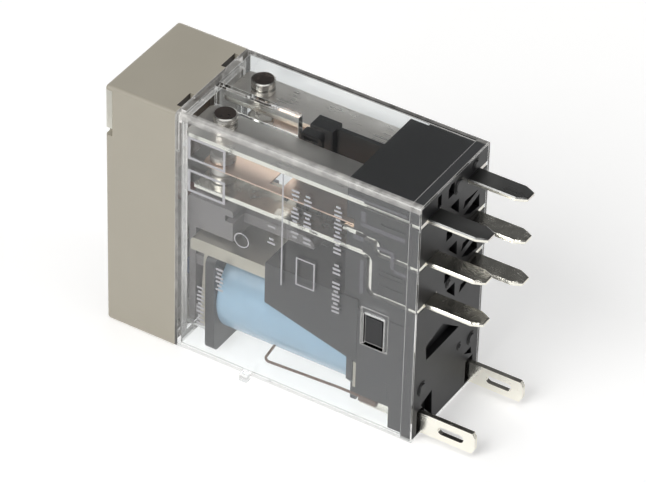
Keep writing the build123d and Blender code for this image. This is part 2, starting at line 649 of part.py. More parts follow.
# ---------------------------------------------------------- moving armature
half_plate = armature_thickness / 2
with BuildPart() as armature:
    side_profile((swing(pivot_x - half_plate, pivot_z), swing(pivot_x + half_plate, pivot_z),
                  swing(pivot_x + half_plate, armature_foot_z),
                  swing(pivot_x - half_plate, armature_foot_z)),
                 -armature_half_width, armature_half_width)
    with Locations((pivot_x, 0, pivot_z)):
        Cylinder(half_plate, 2 * armature_half_width, rotation=(90, 0, 0))
    fillet([e for e in armature.edges() if e.center().Z < armature_foot_z + 0.3
            and abs(abs(e.center().Y) - armature_half_width) < 0.01
            and e.length < 1.1], 0.8)
save(armature.part, "armature")

holder_left_x = joint_x + 0.2
holder_wall_x = joint_x + 0.95
block_right_x = joint_x + 5.45
holder_foot_z = yoke_top_z + 0.4
holder_top_z = yoke_top_z + 4.1
rib_face = 0.01
with BuildPart() as armature_holder:
    slab(holder_left_x, block_right_x, -4.2, 4.2, holder_foot_z, holder_top_z)
    fillet([e for e in armature_holder.edges().filter_by(Axis.Y)
            if e.center().Z > holder_top_z - 0.1], 0.4)
    slab(holder_left_x, holder_wall_x, -3.9, 3.9, 2.4, holder_foot_z + 0.1)
    slab(block_right_x - 0.1, card_x + 2.0, -2.2, 2.2, arm_foot_z, arm_top_z)
    fillet([e for e in armature_holder.edges().filter_by(Axis.Y)
            if e.center().X > card_x + 1.9 and e.center().Z > arm_top_z - 0.1], 0.8)
    slab(block_right_x - 0.9, block_right_x + 0.1, -4.3, 4.3, holder_top_z - 1.5,
         holder_top_z - 0.8, mode=Mode.SUBTRACT)
    for rib_y in (-3.2, 3.2):
        for z0, z1 in ((3.2, 4.4), (9.4, 10.6)):
            side_profile(((holder_wall_x - 0.1, z0),
                          (swing(pivot_x - half_plate - rib_face, z0)[0], z0),
                          (swing(pivot_x - half_plate - rib_face, z1)[0], z1),
                          (holder_wall_x - 0.1, z1)), rib_y - 0.6, rib_y + 0.6)
save(armature_holder.part, "armature_holder")

leaf = 0.15
with BuildPart() as hinge_spring:
    leaf_x = pivot_x - half_plate - leaf / 2 - 0.01
    foot_point = swing(leaf_x, 6.2)
    knee_point = swing(leaf_x, pivot_z - 1.0)
    front_x = yoke_left_x - 0.15 - leaf / 2
    hook_z = yoke_top_z + 0.13 + leaf / 2
    bent_strip((foot_point, knee_point, (front_x, pivot_z - 0.7), (front_x, hook_z),
                (yoke_left_x + 1.4, hook_z)), 0.12, leaf, -1.6, 1.6)
save(hinge_spring.part, "hinge_spring")

flag_x = cap_face_x + 2.3
with BuildPart() as indicator_flag:
    slab(flag_x, flag_x + 0.5, -1.9, 1.9, flag_z - 1.7, flag_z + 3.6)
    fillet(indicator_flag.edges().filter_by(Axis.X), 0.3)
    slab(flag_x + 0.4, holder_left_x - 0.01, -0.8, 0.8, flag_z + 2.6, flag_z + 3.4)
    slab(holder_left_x - 0.7, holder_left_x - 0.01, -1.6, 1.6, flag_z + 2.0, flag_z + 4.0)
save(indicator_flag.part, "indicator_flag")

# ----------------------------------------------------------------- card
card_half = 0.55
card_top_z = no_z + 0.6
finger_top_z = spring_z - 0.06
with BuildPart() as card:
    side_profile(((card_x - 0.4, arm_top_z + 0.05), (card_x + 0.4, arm_top_z + 0.05),
                  (card_x + 0.6, arm_top_z + 0.9), (card_x + 1.35, arm_top_z + 1.3),
                  (card_x + 1.35, card_top_z), (card_x - 1.2, card_top_z),
                  (card_x - 1.2, arm_top_z + 1.3), (card_x - 0.6, arm_top_z + 0.9)),
                 -card_half, card_half)
    fillet([e for e in card.edges().filter_by(Axis.Y)
            if e.center().Z > card_top_z - 0.1], 0.5)
    slab(card_x - 0.7, card_x + 0.9, -card_half - 1, card_half + 1, card_top_z - 0.7,
         card_top_z - 0.35, mode=Mode.SUBTRACT)
    slab(card_x - 0.25, card_x + 0.25, -4.6, 4.6, finger_top_z - 0.8, finger_top_z)
save(card.part, "card")
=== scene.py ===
"""Looks for a slim two-pole plug-in relay, laid out as an add-on and run as a script."""
import math

import bmesh
import bpy
from mathutils import Matrix, Vector


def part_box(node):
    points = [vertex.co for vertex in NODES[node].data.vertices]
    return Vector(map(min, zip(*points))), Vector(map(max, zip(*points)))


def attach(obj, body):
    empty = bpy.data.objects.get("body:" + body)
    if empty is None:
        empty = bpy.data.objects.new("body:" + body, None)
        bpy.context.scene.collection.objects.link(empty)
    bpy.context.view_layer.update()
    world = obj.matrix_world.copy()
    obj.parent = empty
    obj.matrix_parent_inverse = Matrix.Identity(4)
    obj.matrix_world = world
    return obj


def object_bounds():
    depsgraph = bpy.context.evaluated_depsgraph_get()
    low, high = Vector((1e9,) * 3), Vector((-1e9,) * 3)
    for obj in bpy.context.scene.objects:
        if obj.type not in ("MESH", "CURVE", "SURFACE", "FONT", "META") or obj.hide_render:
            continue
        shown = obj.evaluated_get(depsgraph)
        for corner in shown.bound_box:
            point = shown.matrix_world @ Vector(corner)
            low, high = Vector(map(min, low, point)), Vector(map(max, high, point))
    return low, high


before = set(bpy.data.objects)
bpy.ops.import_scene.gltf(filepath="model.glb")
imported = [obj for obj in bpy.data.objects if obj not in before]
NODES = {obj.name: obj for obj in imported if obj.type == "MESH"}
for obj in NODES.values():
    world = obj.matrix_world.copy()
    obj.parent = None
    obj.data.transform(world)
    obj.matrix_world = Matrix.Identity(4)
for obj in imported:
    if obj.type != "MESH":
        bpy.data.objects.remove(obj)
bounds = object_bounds()
SIDES = ("front", "rear")
MM = 0.001

# The clear case in metres: half its thickness, half its height, and its rim beside the cap.
CASE_HALF_WIDTH = 0.0065
CASE_HALF_HEIGHT = 0.0145
CASE_RIM_START = -0.01
CASE_RIM_WIDTH = 0.0007

# Least normal component of a face that looks roughly, or squarely, along an axis.
FLAT = 0.7
SQUARE = 0.9

# Noise scales of rolled strip along X, Y and Z; colours of its sheared sides, also used as painted
# highlight on strip edges, and of its tarnish.
ROLLED = (150.0, 9000.0, 9000.0)
SHEARED = (0.9, 0.88, 0.8)
DULL_NICKEL = (0.34, 0.33, 0.31)

# Plastics: refraction, how dark a shadow clear walls cast, dust, and the painted shade, painted
# glow and painted edge lines of the case's wall ends.
MOULDED_IOR = 1.5
CLEAR_IOR = 1.57
CLEAR_SHADOW = 0.1
DUST = (0.55, 0.54, 0.52)
DUST_SHARE = 0.45
WALL_END_SHADE = (0.16, 0.16, 0.155)
WALL_END_LIGHT = (0.4, 0.39, 0.375)
EDGE_GLOW = (0.58, 0.57, 0.55)

# Print on the front wall, in mm along X from the cap's end and in Z. A row of bars has its X and
# the feet and heads of its runs.
PRINT_LINE = ((20.5, 13.3), (20.5, 26.8))
PRINT_FRAME = ((22.2, 14.2), (24.2, 14.2), (24.2, 17.4), (22.2, 17.4))
LARGE_FRAME_FEET = (20.4, 24.3)
LARGE_FRAME_X = (9.8, 13.8)
LARGE_FRAME_TALL = 2.4
RING_CENTRE = (15.9, 16.8)
RING_RADIUS = 0.8
LINE_WIDE, FRAME_WIDE, LARGE_FRAME_WIDE, RING_WIDE = 0.16, 0.15, 0.28, 0.13
PRINT_GAP = 0.005
PRINT_THICK = 0.02
BAR_STEP = 0.5
BAR_WIDE = 0.24
BAR_LONG, BAR_SHORT = 0.85, 0.5
BAR_ROWS = ((21.9, ((19.7, 21.0), (21.6, 23.6), (24.2, 25.7))),
            (23.3, ((19.5, 20.8), (21.5, 23.5), (24.1, 25.6))),
            (19.3, ((17.8, 19.2), (19.8, 20.6))),
            (26.7, ((12.6, 16.6), (17.3, 19.0), (19.8, 26.2))),
            (11.2, ((4.2, 9.6),)), (13.4, ((9.4, 12.6),)))

# Ribs on the block's sides, as X and Z spans in the same measure.
BLOCK_RIBS = (((27.6, 33.9), (27.0, 27.25)), ((29.0, 29.5), (24.6, 25.8)),
              ((29.0, 33.9), (24.0, 24.45)), ((30.9, 32.7), (22.0, 22.35)),
              ((32.4, 32.8), (20.3, 22.0)), ((32.8, 34.2), (19.9, 20.3)),
              ((29.1, 29.5), (15.9, 20.0)), ((28.2, 29.4), (22.2, 22.7)))
RIB_GAP = 0.004
RIB_THICK = 0.03

# Round posts on the blade end: Y, Z and radius in mm.
END_POSTS = ((-4.63, 5.9, 0.6), (4.75, 5.85, 0.55), (0.75, 27.2, 0.7), (3.9, 27.75, 0.45),
             (2.45, 6.35, 0.22), (-0.35, 16.15, 0.36))
POST_TALL = 0.2
POST_SUNK = 0.01
POST_TAPER = 0.05
# Painted shade beside each post: gap from the post and width of a dark half ring, in mm.
CRESCENT_GAP = 0.13
CRESCENT_WIDE = 0.24

# Lamps: name, place in metres, width, height, and power as a share of the key setting.
LAMPS = (("key", (-0.12, -0.62, 0.55), 0.5, 0.5, 26), ("top", (0.05, -0.05, 0.9), 0.7, 0.7, 17),
         ("right_fill", (0.75, 0.15, 0.35), 0.4, 0.4, 6),
         ("rear_fill", (-0.42, 0.92, 0.2), 0.7, 0.35, 16))
LAMP_AIM = Vector((0, 0, 0.015))
CAMERA_TARGET = Vector((3.4 * MM, 0, 14.77 * MM))
FLOOR_HALF = 1.5

bl_info = {
    "name": "Plug-in relay looks",
    "version": (1, 0, 0),
    "blender": (4, 5, 0),
    "location": "View3D > Sidebar > Relay",
    "description": "Finishes and fine pieces for a clear-cased plug-in relay",
    "category": "Object",
}


def ink(r, g, b):
    """Linear colour from display values of 0 to 255."""
    out = []
    for v in (r, g, b):
        c = v / 255.0
        out.append(c / 12.92 if c <= 0.04045 else ((c + 0.055) / 1.055) ** 2.4)
    return tuple(out)


def low(node):
    """Lowest corner of a frame node in millimetres."""
    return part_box(node)[0] / MM


def high(node):
    """Highest corner of a frame node in millimetres."""
    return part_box(node)[1] / MM


def colour_prop(name, description, default):
    """Colour setting with the common limits."""
    return bpy.props.FloatVectorProperty(
        name=name, description=description, subtype="COLOR", size=3, min=0, max=1, default=default)


def amount_prop(name, description, default):
    """Setting from 0 to 1."""
    return bpy.props.FloatProperty(
        name=name, description=description, subtype="FACTOR", min=0, max=1, default=default)


def length_prop(name, description, default):
    """Length setting in metres."""
    return bpy.props.FloatProperty(
        name=name, description=description, unit="LENGTH", default=default, min=0, precision=5)


# ------------------------------------------------------------------ settings
class RELAY_PG_mouldings(bpy.types.PropertyGroup):
    """Colours of the moulded plastic pieces."""
    case_tint: colour_prop("Case tint", "Tint of the clear case", (0.905, 0.92, 0.925))
    case_roughness: amount_prop("Case roughness", "Polish of the clear case", 0.0)
    cap: colour_prop("Cap", "Colour of the cap", ink(166, 160, 146))
    slot_shade: colour_prop("Snap slots", "Shade inside the cap's slots", ink(44, 38, 32))
    lens: colour_prop("Lens", "Colour of the light window", ink(226, 224, 214))
    black: colour_prop("Black moulding", "Contact block and card", ink(12, 12, 13))
    base: colour_prop("Base", "Terminal base", ink(27, 27, 29))
    bobbin: colour_prop("Bobbin", "Colour of the bobbin", ink(34, 34, 37))
    holder: colour_prop("Armature holder", "Natural translucent moulding", ink(118, 114, 114))
    button: colour_prop("Test button", "Colour of the button", ink(40, 92, 168))
    flag: colour_prop("Indicator flag", "Colour of the flag", ink(120, 66, 52))
    plate: colour_prop("Nameplate", "Colour of the blank plate", ink(214, 212, 206))
    print_ink: colour_prop("Print", "Pale print on the case wall", ink(176, 175, 178))
    rib_light: colour_prop("Ribs", "Ribs that touch the case wall", ink(84, 82, 88))
    # Painted light: the block's ribs are drawn pale grey, for the changed reflection where the
    # black block meets the case wall.
    board: colour_prop("Board", "Brown laminate board", ink(104, 84, 62))
    # Painted shade: dark half rings beside the posts on the blade end, standing in for shaded
    # recesses.
    post_shade: colour_prop("Deep shade", "Half rings beside the round posts", ink(6, 6, 7))


class RELAY_PG_metals(bpy.types.PropertyGroup):
    """Colours of the metal pieces."""
    blade: colour_prop("Blades", "Bright plated strip", ink(238, 235, 224))
    strip: colour_prop("Upper strips", "Grey plated strip", ink(226, 222, 216))
    # Painted reflection: upward faces of the upper blades outside the base are darkened, for the
    # dark room they mirror.
    blade_top_reflection: colour_prop("Upper blade tops", "Dull tops of the blades", (0.2, 0.2, 0.195))
    silver: colour_prop("Contacts", "Silver alloy", ink(206, 202, 196))
    rivet_top: colour_prop("Rivet tops", "Tarnished rivet heads", ink(98, 84, 76))
    spring: colour_prop("Moving springs", "Copper alloy leaf", ink(228, 200, 180))
    iron: colour_prop("Iron", "Plated yoke, core and armature", ink(196, 190, 176))
    wire: colour_prop("Coil lead", "Enamelled wire", ink(96, 70, 52))
    solder: colour_prop("Solder", "Solder joints", ink(206, 206, 204))


class RELAY_PG_coil(bpy.types.PropertyGroup):
    """Coil tape and winding."""
    tape: colour_prop("Tape", "Polyester tape over the winding", ink(150, 182, 204))
    winding: colour_prop("Winding", "Enamelled wire", ink(150, 84, 52))


class RELAY_PG_stage(bpy.types.PropertyGroup):
    """Floor, light and camera."""
    floor: colour_prop("Floor", "Colour of the floor", (0.90, 0.895, 0.885))
    floor_lift: amount_prop("Floor lift", "Light given off by the white floor", 0.28)
    distance: length_prop("Camera distance", "From the target", 0.4273)
    lens: bpy.props.FloatProperty(name="Lens", description="Focal length in mm", default=243.68)
    azimuth: bpy.props.FloatProperty(
        name="Azimuth", description="Camera turn about Z", subtype="ANGLE",
        default=math.radians(30.93))
    elevation: bpy.props.FloatProperty(
        name="Elevation", description="Camera height angle", subtype="ANGLE",
        default=math.radians(38.09))
    roll: bpy.props.FloatProperty(
        name="Roll", description="Camera roll", subtype="ANGLE", default=math.radians(1.65))
    key: bpy.props.FloatProperty(name="Key light", description="Power in watts", default=0.17)
    surround: bpy.props.FloatProperty(
        name="Surround", description="Brightness of the room", default=0.08)


# ------------------------------------------------------- shared shader groups
def group(name, inputs, outputs):
    """Empty shader group with named sockets; returns the tree, its input and its output."""
    tree = bpy.data.node_groups.new(name, "ShaderNodeTree")
    for label, kind, default in inputs:
        socket = tree.interface.new_socket(name=label, in_out="INPUT", socket_type=kind)
        if default is not None:
            socket.default_value = default
    for label, kind in outputs:
        tree.interface.new_socket(name=label, in_out="OUTPUT", socket_type=kind)
    return tree, tree.nodes.new("NodeGroupInput"), tree.nodes.new("NodeGroupOutput")


def node(tree, kind, values=None, **settings):
    """Adds a node, sets its properties and its input values."""
    made = tree.nodes.new(kind)
    for key, value in settings.items():
        setattr(made, key, value)
    for key, value in (values or {}).items():
        made.inputs[key].default_value = value
    return made


def wire(tree, *pairs):
    """Links output to input for each pair."""
    for source, target in pairs:
        tree.links.new(source, target)


def math_node(tree, operation, a=None, b=None, clamp=False):
    """Math node with sockets or numbers on both inputs."""
    made = node(tree, "ShaderNodeMath", operation=operation, use_clamp=clamp)
    for index, value in enumerate((a, b)):
        if value is None:
            continue
        if hasattr(value, "links"):
            tree.links.new(value, made.inputs[index])
        else:
            made.inputs[index].default_value = value
    return made.outputs[0]


def axes(tree, source):
    """X, Y and Z outputs of a vector socket."""
    made = node(tree, "ShaderNodeSeparateXYZ")
    wire(tree, (source, made.inputs[0]))
    return made.outputs


def recolour(tree, shader, share, colour):
    """Mixes a colour over the shader's base colour, by a share from 0 to 1."""
    base = shader.inputs["Base Color"]
    over = node(tree, "ShaderNodeMix", data_type="RGBA")
    over.inputs[7].default_value = rgba(colour)
    wire(tree, (base.links[0].from_socket, over.inputs[6]), (share, over.inputs[0]),
         (over.outputs[2], base))


FLOAT, COLOUR, VECTOR = "NodeSocketFloat", "NodeSocketColor", "NodeSocketVector"


def build_moulded_grain():
    """Fine spark-eroded grain and slow tone drift of a moulding."""
    tree, start, end = group(
        "Moulded grain",
        [("Grain scale", FLOAT, 9000.0), ("Drift scale", FLOAT, 220.0), ("Drift", FLOAT, 0.08),
         ("Colour", COLOUR, (0.5, 0.5, 0.5, 1)), ("Roughness", FLOAT, 0.4),
         ("Roughness drift", FLOAT, 0.1)],
        [("Colour", COLOUR), ("Roughness", FLOAT), ("Height", FLOAT)])
    place = node(tree, "ShaderNodeTexCoord")
    fine = node(tree, "ShaderNodeTexNoise", {"Detail": 2.0, "Roughness": 0.6})
    slow = node(tree, "ShaderNodeTexNoise", {"Detail": 3.0, "Roughness": 0.55})
    wire(tree, (place.outputs["Object"], fine.inputs["Vector"]),
         (place.outputs["Object"], slow.inputs["Vector"]),
         (start.outputs["Grain scale"], fine.inputs["Scale"]),
         (start.outputs["Drift scale"], slow.inputs["Scale"]))
    centred = math_node(tree, "SUBTRACT", slow.outputs["Fac"], 0.5)
    tone = math_node(tree, "MULTIPLY", centred, start.outputs["Drift"])
    value = math_node(tree, "ADD", tone, 1.0)
    tint = node(tree, "ShaderNodeVectorMath", operation="SCALE")
    wire(tree, (start.outputs["Colour"], tint.inputs[0]), (value, tint.inputs["Scale"]),
         (tint.outputs[0], end.inputs["Colour"]))
    rough = math_node(tree, "MULTIPLY", centred, start.outputs["Roughness drift"])
    wire(tree, (math_node(tree, "ADD", rough, start.outputs["Roughness"], clamp=True),
                end.inputs["Roughness"]),
         (fine.outputs["Fac"], end.inputs["Height"]))
    return tree


def build_edge_mask():
    """Mask that is 1 on outer edges, for paler moulding edges, painted highlights on strips and
    painted glow lines on the clear case.
    """
    tree, start, end = group(
        "Edge mask", [("Width", FLOAT, 0.00015), ("Strength", FLOAT, 6.0)], [("Mask", FLOAT)])
    soft = node(tree, "ShaderNodeBevel", samples=4)
    sharp = node(tree, "ShaderNodeNewGeometry")
    dot = node(tree, "ShaderNodeVectorMath", operation="DOT_PRODUCT")
    wire(tree, (start.outputs["Width"], soft.inputs["Radius"]),
         (soft.outputs["Normal"], dot.inputs[0]), (sharp.outputs["Normal"], dot.inputs[1]))
    gap = math_node(tree, "SUBTRACT", 1.0, dot.outputs["Value"])
    wire(tree, (math_node(tree, "MULTIPLY", gap, start.outputs["Strength"], clamp=True),
                end.inputs["Mask"]))
    return tree


def build_rolled_strip():
    """Fine lines of rolled or stamped strip with cloudy tarnish."""
    tree, start, end = group(
        "Rolled strip",
        [("Colour", COLOUR, (0.8, 0.8, 0.8, 1)), ("Tarnish", COLOUR, (0.4, 0.36, 0.3, 1)),
         ("Tarnish amount", FLOAT, 0.25), ("Roughness", FLOAT, 0.2),
         ("Stretch", VECTOR, (150.0, 9000.0, 9000.0)), ("Cloud scale", FLOAT, 110.0)],
        [("Colour", COLOUR), ("Roughness", FLOAT), ("Height", FLOAT), ("Waves", FLOAT)])
    place = node(tree, "ShaderNodeTexCoord")
    spread = node(tree, "ShaderNodeVectorMath", operation="MULTIPLY")
    lines = node(tree, "ShaderNodeTexNoise", {"Scale": 1.0, "Detail": 3.0, "Roughness": 0.65})
    cloud = node(tree, "ShaderNodeTexNoise", {"Detail": 4.0, "Roughness": 0.6})
    wire(tree, (place.outputs["Object"], spread.inputs[0]),
         (start.outputs["Stretch"], spread.inputs[1]),
         (spread.outputs[0], lines.inputs["Vector"]),
         (place.outputs["Object"], cloud.inputs["Vector"]),
         (start.outputs["Cloud scale"], cloud.inputs["Scale"]))
    ramp = node(tree, "ShaderNodeMapRange", {"From Min": 0.42, "From Max": 0.72})
    wire(tree, (cloud.outputs["Fac"], ramp.inputs["Value"]))
    share = math_node(tree, "MULTIPLY", ramp.outputs["Result"], start.outputs["Tarnish amount"],
                      clamp=True)
    mix = node(tree, "ShaderNodeMix", data_type="RGBA")
    wire(tree, (share, mix.inputs[0]), (start.outputs["Colour"], mix.inputs[6]),
         (start.outputs["Tarnish"], mix.inputs[7]), (mix.outputs[2], end.inputs["Colour"]))
    centred = math_node(tree, "SUBTRACT", lines.outputs["Fac"], 0.5)
    rough = math_node(tree, "MULTIPLY", centred, 0.16)
    rough = math_node(tree, "ADD", rough, math_node(tree, "MULTIPLY", share, 0.35))
    wire(tree, (math_node(tree, "ADD", rough, start.outputs["Roughness"], clamp=True),
                end.inputs["Roughness"]),
         (lines.outputs["Fac"], end.inputs["Height"]), (cloud.outputs["Fac"], end.inputs["Waves"]))
    return tree


def build_dust():
    """Sparse dust specks."""
    tree, start, end = group(
        "Dust specks", [("Scale", FLOAT, 2600.0), ("Cover", FLOAT, 0.1)], [("Mask", FLOAT)])
    place = node(tree, "ShaderNodeTexCoord")
    cells = node(tree, "ShaderNodeTexVoronoi")
    patch = node(tree, "ShaderNodeTexNoise", {"Scale": 300.0, "Detail": 3.0})
    wire(tree, (place.outputs["Object"], cells.inputs["Vector"]),
         (place.outputs["Object"], patch.inputs["Vector"]),
         (start.outputs["Scale"], cells.inputs["Scale"]))
    limit = math_node(tree, "MULTIPLY", start.outputs["Cover"], patch.outputs["Fac"])
    near = math_node(tree, "LESS_THAN", cells.outputs["Distance"], limit)
    wire(tree, (near, end.inputs["Mask"]))
    return tree


def build_rim_band():
    """Bands where the walls of a clear box are seen end on, with their light and shade."""
    tree, start, end = group(
        "Rim band",
        [("Width", FLOAT, 0.0007), ("Half width", FLOAT, CASE_HALF_WIDTH),
         ("Half height", FLOAT, CASE_HALF_HEIGHT), ("Rim start", FLOAT, CASE_RIM_START),
         ("Rim width", FLOAT, CASE_RIM_WIDTH)],
        [("Mask", FLOAT), ("Light", FLOAT), ("Shade", FLOAT)])
    place = axes(tree, node(tree, "ShaderNodeTexCoord").outputs["Object"])
    raised = math_node(tree, "SUBTRACT", place["Z"], start.outputs["Half height"])
    near = []
    for offset, half in ((place["Y"], "Half width"), (raised, "Half height")):
        depth = math_node(tree, "SUBTRACT", start.outputs[half],
                          math_node(tree, "ABSOLUTE", offset))
        share = math_node(tree, "DIVIDE", depth, start.outputs["Width"])
        near.append(math_node(tree, "LESS_THAN", share, 1.0))
    corner = math_node(tree, "MINIMUM", near[0], near[1])
    run = math_node(tree, "SUBTRACT", place["X"], start.outputs["Rim start"])
    rim = math_node(tree, "LESS_THAN", run, start.outputs["Rim width"])
    # Painted light rises with height and is strongest at the front wall; painted shade deepens
    # with height.
    rise = node(tree, "ShaderNodeMapRange", {"From Min": 0.0, "From Max": 0.009,
                                             "To Min": 0.15, "To Max": 1.0})
    fall = node(tree, "ShaderNodeMapRange", {
        "From Min": -CASE_HALF_WIDTH, "From Max": CASE_HALF_WIDTH, "To Min": 1.0, "To Max": 0.5})
    light = math_node(tree, "MULTIPLY", rise.outputs["Result"], fall.outputs["Result"])
    shade = math_node(tree, "MULTIPLY", rise.outputs["Result"], 0.5)
    wire(tree, (math_node(tree, "MAXIMUM", corner, math_node(tree, "MULTIPLY", rim, 0.6)),
                end.inputs["Mask"]),
         (place["Z"], rise.inputs["Value"]), (place["Y"], fall.inputs["Value"]),
         (light, end.inputs["Light"]),
         (math_node(tree, "ADD", shade, 0.5), end.inputs["Shade"]))
    return tree


GROUPS = {}


def shared(name):
    """The shared shader group of that name, built on first use."""
    builders = {"grain": build_moulded_grain, "edge": build_edge_mask,
                "strip": build_rolled_strip, "dust": build_dust,
                "band": build_rim_band}
    if name not in GROUPS:
        GROUPS[name] = builders[name]()
    return GROUPS[name]


def place_group(tree, name, values=None):
    """Places a shared group in a material with its own values."""
    made = tree.nodes.new("ShaderNodeGroup")
    made.node_tree = shared(name)
    for key, value in (values or {}).items():
        made.inputs[key].default_value = value
    return made


def rgba(colour):
    """Colour with full alpha."""
    return (colour[0], colour[1], colour[2], 1.0)


def base_material(name):
    """New node material; returns the material, its tree and its Principled shader."""
    made = bpy.data.materials.new(name)
    made.use_nodes = True
    return made, made.node_tree, made.node_tree.nodes["Principled BSDF"]


def bump(tree, shader, height, strength, distance):
    """Feeds a height into the shader's normal."""
    made = node(tree, "ShaderNodeBump", {"Strength": strength, "Distance": distance})
    wire(tree, (height, made.inputs["Height"]), (made.outputs["Normal"], shader.inputs["Normal"]))


def moulded(name, colour, roughness=0.4, grain=0.25, edge=0.25, drift=0.12, scale=9000.0,
            dust=0.0):
    """Moulded plastic with grain, tone drift, paler edges and a little dust."""
    made, tree, shader = base_material(name)
    texture = place_group(tree, "grain", {
        "Colour": rgba(colour), "Roughness": roughness, "Grain scale": scale, "Drift": drift})
    wire(tree, (texture.outputs["Colour"], shader.inputs["Base Color"]),
         (texture.outputs["Roughness"], shader.inputs["Roughness"]))
    rim = place_group(tree, "edge", {"Width": 0.00012, "Strength": 5.0})
    pale = tuple(min(1.0, c * 1.7 + 0.02) for c in colour)
    recolour(tree, shader, math_node(tree, "MULTIPLY", rim.outputs["Mask"], edge), pale)
    if dust:
        specks = place_group(tree, "dust", {"Cover": dust})
        recolour(tree, shader,
                 math_node(tree, "MULTIPLY", specks.outputs["Mask"], DUST_SHARE), DUST)
    shader.inputs["IOR"].default_value = MOULDED_IOR
    bump(tree, shader, texture.outputs["Height"], grain, 0.00002)
    return made


def strip_metal(name, colour, roughness=0.2, tarnish=0.25, tarnish_colour=None,
                stretch=ROLLED, line=0.05, edge=0.0, cut=False, waves=0.0, cloud=110.0):
    """Rolled metal with fine lines, tarnish, waves and, with cut, pale sheared sides."""
    made, tree, shader = base_material(name)
    dull = tarnish_colour or tuple(c * 0.55 for c in colour)
    texture = place_group(tree, "strip", {
        "Colour": rgba(colour), "Tarnish": rgba(dull), "Tarnish amount": tarnish,
        "Roughness": roughness, "Stretch": stretch, "Cloud scale": cloud})
    wire(tree, (texture.outputs["Colour"], shader.inputs["Base Color"]),
         (texture.outputs["Roughness"], shader.inputs["Roughness"]))
    # Painted highlight: edges found by the edge mask, times edge, take the pale sheared colour.
    rim = place_group(tree, "edge", {"Width": 0.0001, "Strength": 4.0})
    share = math_node(tree, "MULTIPLY", rim.outputs["Mask"], edge)
    if cut:
        facing = axes(tree, node(tree, "ShaderNodeTexCoord").outputs["Normal"])
        side = math_node(tree, "GREATER_THAN", math_node(tree, "ABSOLUTE", facing["Y"]), FLAT)
        share = math_node(tree, "MAXIMUM", share, side)
    recolour(tree, shader, share, SHEARED)
    shader.inputs["Metallic"].default_value = 1.0
    height = texture.outputs["Height"]
    if waves:
        height = math_node(tree, "ADD", math_node(tree, "MULTIPLY", height, line),
                           math_node(tree, "MULTIPLY", texture.outputs["Waves"], waves))
        line = 1.0
    bump(tree, shader, height, line, 0.00001)
    return made


def clear_plastic(name, tint, roughness, haze=0.0, box=False):
    """Clear moulding that lets light in, with flow marks and, for a box, painted glow and painted
    shade on its wall ends and edges.
    """
    made, tree, shader = base_material(name)
    texture = place_group(tree, "grain", {
        "Colour": rgba(tint), "Roughness": roughness, "Grain scale": 900.0, "Drift": 0.02,
        "Drift scale": 120.0, "Roughness drift": 0.0})
    wire(tree, (texture.outputs["Colour"], shader.inputs["Base Color"]),
         (texture.outputs["Roughness"], shader.inputs["Roughness"]))
    shader.inputs["IOR"].default_value = CLEAR_IOR
    shader.inputs["Transmission Weight"].default_value = 1.0 - haze
    path = node(tree, "ShaderNodeLightPath")
    cut = math_node(tree, "MULTIPLY", path.outputs["Is Shadow Ray"], 1.0 - CLEAR_SHADOW)
    wire(tree, (math_node(tree, "SUBTRACT", 1.0, cut), shader.inputs["Alpha"]))
    bump(tree, shader, texture.outputs["Height"], 0.02, 0.00002)
    if box:
        # Painted light and shade: wall ends and edges glow through emission, most up high and at
        # the front, and their base colour is darkened.
        band = place_group(tree, "band")
        edge = place_group(tree, "edge", {"Width": 0.00014, "Strength": 6.0})
        wide = node(tree, "ShaderNodeMix", data_type="RGBA")
        thin = node(tree, "ShaderNodeMix", data_type="RGBA")
        wide.inputs[6].default_value = (0, 0, 0, 1)
        wide.inputs[7].default_value = rgba(WALL_END_LIGHT)
        thin.inputs[7].default_value = rgba(EDGE_GLOW)
        streak = math_node(tree, "MULTIPLY", texture.outputs["Height"], 1.3)
        lit = math_node(tree, "MULTIPLY", band.outputs["Mask"], streak)
        both = math_node(tree, "MAXIMUM", band.outputs["Mask"], edge.outputs["Mask"])
        both = math_node(tree, "MULTIPLY", both, band.outputs["Shade"])
        wire(tree, (math_node(tree, "MULTIPLY", lit, band.outputs["Light"], clamp=True),
                    wide.inputs[0]),
             (math_node(tree, "MULTIPLY", edge.outputs["Mask"], band.outputs["Light"]),
              thin.inputs[0]),
             (wide.outputs[2], thin.inputs[6]),
             (thin.outputs[2], shader.inputs["Emission Color"]))
        recolour(tree, shader, both, WALL_END_SHADE)
        shader.inputs["Emission Strength"].default_value = 1.0
    return made


def paint(names, material):
    """Gives frame nodes their material."""
    for name in names:
        mesh = NODES[name].data
        mesh.materials.clear()
        mesh.materials.append(material)


def pairs(*stems):
    """Front and rear node names for each stem."""
    return [stem + "_" + side for stem in stems for side in SIDES]


def mesh_piece(name, builder, material):
    """Turns a bmesh builder into a piece that rides on the relay's fixed body."""
    shape = bmesh.new()
    builder(shape)
    mesh = bpy.data.meshes.new(name)
    bmesh.ops.recalc_face_normals(shape, faces=shape.faces)
    shape.to_mesh(mesh)
    shape.free()
    piece = bpy.data.objects.new(name, mesh)
    bpy.context.scene.collection.objects.link(piece)
    mesh.materials.append(material)
    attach(piece, "relay_frame")


